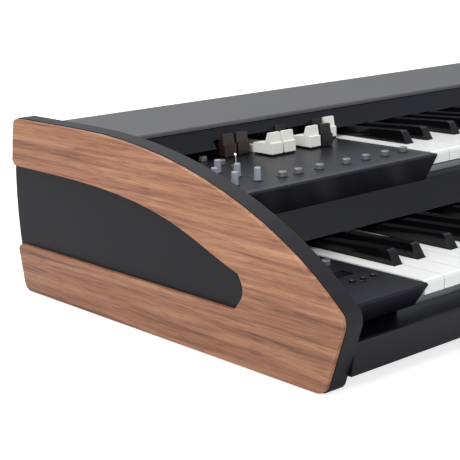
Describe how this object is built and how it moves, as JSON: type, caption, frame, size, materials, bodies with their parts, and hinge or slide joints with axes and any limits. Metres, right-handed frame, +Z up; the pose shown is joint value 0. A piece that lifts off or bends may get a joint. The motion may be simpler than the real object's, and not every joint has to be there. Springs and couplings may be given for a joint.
{
  "type": "spinet organ",
  "caption": "Portable two-manual drawbar organ with walnut cheeks, stepped keyboards, drawbars, knobs and push buttons.",
  "frame": {"origin": "middle of the bounding box's bottom face", "axes": "X along the keys to the player's right, Y from the player to the back, Z up"},
  "size_m": [1.1476, 0.424, 0.164],
  "materials": {
    "black_key_plastic": "gloss",
    "black_plastic": "satin",
    "board_paint": "satin black paint",
    "brass": "satin",
    "brown_plastic": "satin",
    "chrome": "polished",
    "circuit_board": "lacquered",
    "display_glass": "gloss",
    "galvanised_steel": "galvanised",
    "grey_plastic": "satin",
    "ivory_plastic": "satin",
    "lid_grey_paint": "satin",
    "satin_black_paint": "satin",
    "smoke_plastic": "translucent satin",
    "walnut": "satin varnish",
    "white_key_plastic": "gloss"
  },
  "bodies": {
    "casing": {"base_tray": "galvanised_steel", "display_window": "display_glass", "front_apron": "satin_black_paint", "left_cheek_board": "board_paint", "left_walnut_plate": "walnut", "lid_fascia": "satin_black_paint", "lower_black_keys": "black_key_plastic", "lower_key_frame": "galvanised_steel", "lower_left_block": "satin_black_paint", "lower_right_block": "satin_black_paint", "lower_white_keys": "white_key_plastic", "main_board": "circuit_board", "power_inlet": "black_plastic", "rear_panel": "satin_black_paint", "right_cheek_board": "board_paint", "right_walnut_plate": "walnut", "toggle_nut": "brass", "top_lid": "lid_grey_paint", "upper_black_keys": "black_key_plastic", "upper_control_panel": "satin_black_paint", "upper_fascia": "satin_black_paint", "upper_key_frame": "galvanised_steel", "upper_right_block": "satin_black_paint", "upper_white_keys": "white_key_plastic"},
    "lower_key_c": {"lower_key_c": "white_key_plastic"},
    "lower_key_d": {"lower_key_d": "white_key_plastic"},
    "lower_key_c_sharp": {"lower_key_c_sharp": "black_key_plastic"},
    "upper_key_c": {"upper_key_c": "white_key_plastic"},
    "upper_key_c_sharp": {"upper_key_c_sharp": "black_key_plastic"},
    "drawbar_1": {"drawbar_1": "brown_plastic"},
    "drawbar_2": {"drawbar_2": "brown_plastic"},
    "drawbar_3": {"drawbar_3": "ivory_plastic"},
    "drawbar_4": {"drawbar_4": "ivory_plastic"},
    "drawbar_5": {"drawbar_5": "black_plastic"},
    "drawbar_6": {"drawbar_6": "ivory_plastic"},
    "drawbar_7": {"drawbar_7": "black_plastic"},
    "drawbar_8": {"drawbar_8": "black_plastic"},
    "drawbar_9": {"drawbar_9": "ivory_plastic"},
    "knob_1": {"knob_1": "smoke_plastic"},
    "knob_2": {"knob_2": "smoke_plastic"},
    "knob_3": {"knob_3": "smoke_plastic"},
    "knob_4": {"knob_4": "smoke_plastic"},
    "knob_5": {"knob_5": "smoke_plastic"},
    "knob_6": {"knob_6": "smoke_plastic"},
    "knob_7": {"knob_7": "smoke_plastic"},
    "panel_button_1": {"panel_button_1": "grey_plastic"},
    "panel_button_2": {"panel_button_2": "grey_plastic"},
    "panel_button_3": {"panel_button_3": "grey_plastic"},
    "panel_button_4": {"panel_button_4": "grey_plastic"},
    "panel_button_5": {"panel_button_5": "grey_plastic"},
    "panel_button_6": {"panel_button_6": "grey_plastic"},
    "panel_button_7": {"panel_button_7": "grey_plastic"},
    "panel_button_8": {"panel_button_8": "grey_plastic"},
    "panel_button_9": {"panel_button_9": "grey_plastic"},
    "lower_button_round": {"lower_button_round": "grey_plastic"},
    "lower_button_1": {"lower_button_1": "black_plastic"},
    "lower_button_2": {"lower_button_2": "black_plastic"},
    "lower_button_3": {"lower_button_3": "black_plastic"},
    "toggle_lever": {"toggle_lever": "chrome"},
    "power_switch": {"power_switch": "black_plastic"}
  },
  "joints": [
    {"name": "lower_key_c_press", "type": "hinge", "parent": "casing", "child": "lower_key_c", "pos_m": [-0.45979, -0.0335, 0.0615], "axis": [1, 0, 0], "range_deg": [0, 3.3], "stiffness_Nm_per_rad": 2, "springref_deg": -6.88},
    {"name": "lower_key_d_press", "type": "hinge", "parent": "casing", "child": "lower_key_d", "pos_m": [-0.43679, -0.0335, 0.0615], "axis": [1, 0, 0], "range_deg": [0, 3.3], "stiffness_Nm_per_rad": 2, "springref_deg": -6.88},
    {"name": "lower_key_c_sharp_press", "type": "hinge", "parent": "casing", "child": "lower_key_c_sharp", "pos_m": [-0.45059, -0.0335, 0.0615], "axis": [1, 0, 0], "range_deg": [0, 3.3], "stiffness_Nm_per_rad": 2, "springref_deg": -6.88},
    {"name": "upper_key_c_press", "type": "hinge", "parent": "casing", "child": "upper_key_c", "pos_m": [-0.29479, 0.0965, 0.122], "axis": [1, 0, 0], "range_deg": [0, 3.3], "stiffness_Nm_per_rad": 2, "springref_deg": -6.88},
    {"name": "upper_key_c_sharp_press", "type": "hinge", "parent": "casing", "child": "upper_key_c_sharp", "pos_m": [-0.28559, 0.0965, 0.122], "axis": [1, 0, 0], "range_deg": [0, 3.3], "stiffness_Nm_per_rad": 2, "springref_deg": -6.88},
    {"name": "drawbar_1_slide", "type": "slide", "parent": "casing", "child": "drawbar_1", "axis": [0, 1, 0], "range_m": [-0.03, 0]},
    {"name": "drawbar_2_slide", "type": "slide", "parent": "casing", "child": "drawbar_2", "axis": [0, 1, 0], "range_m": [-0.03, 0]},
    {"name": "drawbar_3_slide", "type": "slide", "parent": "casing", "child": "drawbar_3", "axis": [0, 1, 0], "range_m": [-0.0266, 0.0034]},
    {"name": "drawbar_4_slide", "type": "slide", "parent": "casing", "child": "drawbar_4", "axis": [0, 1, 0], "range_m": [-0.0266, 0.0034]},
    {"name": "drawbar_5_slide", "type": "slide", "parent": "casing", "child": "drawbar_5", "axis": [0, 1, 0], "range_m": [-0.03, 0]},
    {"name": "drawbar_6_slide", "type": "slide", "parent": "casing", "child": "drawbar_6", "axis": [0, 1, 0], "range_m": [-0.0266, 0.0034]},
    {"name": "drawbar_7_slide", "type": "slide", "parent": "casing", "child": "drawbar_7", "axis": [0, 1, 0], "range_m": [-0.0266, 0.0034]},
    {"name": "drawbar_8_slide", "type": "slide", "parent": "casing", "child": "drawbar_8", "axis": [0, 1, 0], "range_m": [-0.03, 0]},
    {"name": "drawbar_9_slide", "type": "slide", "parent": "casing", "child": "drawbar_9", "axis": [0, 1, 0], "range_m": [-0.03, 0]},
    {"name": "knob_1_turn", "type": "hinge", "parent": "casing", "child": "knob_1", "pos_m": [-0.49679, -0.0425, 0.1272], "axis": [0, 0, 1], "range_deg": [-150, 150]},
    {"name": "knob_2_turn", "type": "hinge", "parent": "casing", "child": "knob_2", "pos_m": [-0.52179, -0.0425, 0.1272], "axis": [0, 0, 1], "range_deg": [-150, 150]},
    {"name": "knob_3_turn", "type": "hinge", "parent": "casing", "child": "knob_3", "pos_m": [-0.49679, -0.0175, 0.1272], "axis": [0, 0, 1], "range_deg": [-150, 150]},
    {"name": "knob_4_turn", "type": "hinge", "parent": "casing", "child": "knob_4", "pos_m": [-0.52179, -0.0175, 0.1272], "axis": [0, 0, 1], "range_deg": [-150, 150]},
    {"name": "knob_5_turn", "type": "hinge", "parent": "casing", "child": "knob_5", "pos_m": [-0.49679, 0.0075, 0.1272], "axis": [0, 0, 1], "range_deg": [-150, 150]},
    {"name": "knob_6_turn", "type": "hinge", "parent": "casing", "child": "knob_6", "pos_m": [-0.52179, 0.0075, 0.1272], "axis": [0, 0, 1], "range_deg": [-150, 150]},
    {"name": "knob_7_turn", "type": "hinge", "parent": "casing", "child": "knob_7", "pos_m": [-0.50929, 0.0325, 0.1272], "axis": [0, 0, 1], "range_deg": [-150, 150]},
    {"name": "panel_button_1_press", "type": "slide", "parent": "casing", "child": "panel_button_1", "axis": [0, 0, -1], "range_m": [0, 0.0015], "stiffness_N_per_m": 600, "springref_m": -0.001},
    {"name": "panel_button_2_press", "type": "slide", "parent": "casing", "child": "panel_button_2", "axis": [0, 0, -1], "range_m": [0, 0.0015], "stiffness_N_per_m": 600, "springref_m": -0.001},
    {"name": "panel_button_3_press", "type": "slide", "parent": "casing", "child": "panel_button_3", "axis": [0, 0, -1], "range_m": [0, 0.0015], "stiffness_N_per_m": 600, "springref_m": -0.001},
    {"name": "panel_button_4_press", "type": "slide", "parent": "casing", "child": "panel_button_4", "axis": [0, 0, -1], "range_m": [0, 0.0015], "stiffness_N_per_m": 600, "springref_m": -0.001},
    {"name": "panel_button_5_press", "type": "slide", "parent": "casing", "child": "panel_button_5", "axis": [0, 0, -1], "range_m": [0, 0.0015], "stiffness_N_per_m": 600, "springref_m": -0.001},
    {"name": "panel_button_6_press", "type": "slide", "parent": "casing", "child": "panel_button_6", "axis": [0, 0, -1], "range_m": [0, 0.0015], "stiffness_N_per_m": 600, "springref_m": -0.001},
    {"name": "panel_button_7_press", "type": "slide", "parent": "casing", "child": "panel_button_7", "axis": [0, 0, -1], "range_m": [0, 0.0015], "stiffness_N_per_m": 600, "springref_m": -0.001},
    {"name": "panel_button_8_press", "type": "slide", "parent": "casing", "child": "panel_button_8", "axis": [0, 0, -1], "range_m": [0, 0.0015], "stiffness_N_per_m": 600, "springref_m": -0.001},
    {"name": "panel_button_9_press", "type": "slide", "parent": "casing", "child": "panel_button_9", "axis": [0, 0, -1], "range_m": [0, 0.0015], "stiffness_N_per_m": 600, "springref_m": -0.001},
    {"name": "lower_button_round_press", "type": "slide", "parent": "casing", "child": "lower_button_round", "axis": [0, 0, -1], "range_m": [0, 0.0015], "stiffness_N_per_m": 600, "springref_m": -0.001},
    {"name": "lower_button_1_press", "type": "slide", "parent": "casing", "child": "lower_button_1", "axis": [0, 0, -1], "range_m": [0, 0.0015], "stiffness_N_per_m": 600, "springref_m": -0.001},
    {"name": "lower_button_2_press", "type": "slide", "parent": "casing", "child": "lower_button_2", "axis": [0, 0, -1], "range_m": [0, 0.0015], "stiffness_N_per_m": 600, "springref_m": -0.001},
    {"name": "lower_button_3_press", "type": "slide", "parent": "casing", "child": "lower_button_3", "axis": [0, 0, -1], "range_m": [0, 0.0015], "stiffness_N_per_m": 600, "springref_m": -0.001},
    {"name": "toggle_lever_tilt", "type": "hinge", "parent": "casing", "child": "toggle_lever", "pos_m": [-0.47479, 0.0095, 0.1282], "axis": [1, 0, 0], "range_deg": [-12, 12]},
    {"name": "power_switch_rock", "type": "hinge", "parent": "casing", "child": "power_switch", "pos_m": [0.45221, 0.1905, 0.07], "axis": [1, 0, 0], "range_deg": [-8, 8]}
  ]
}
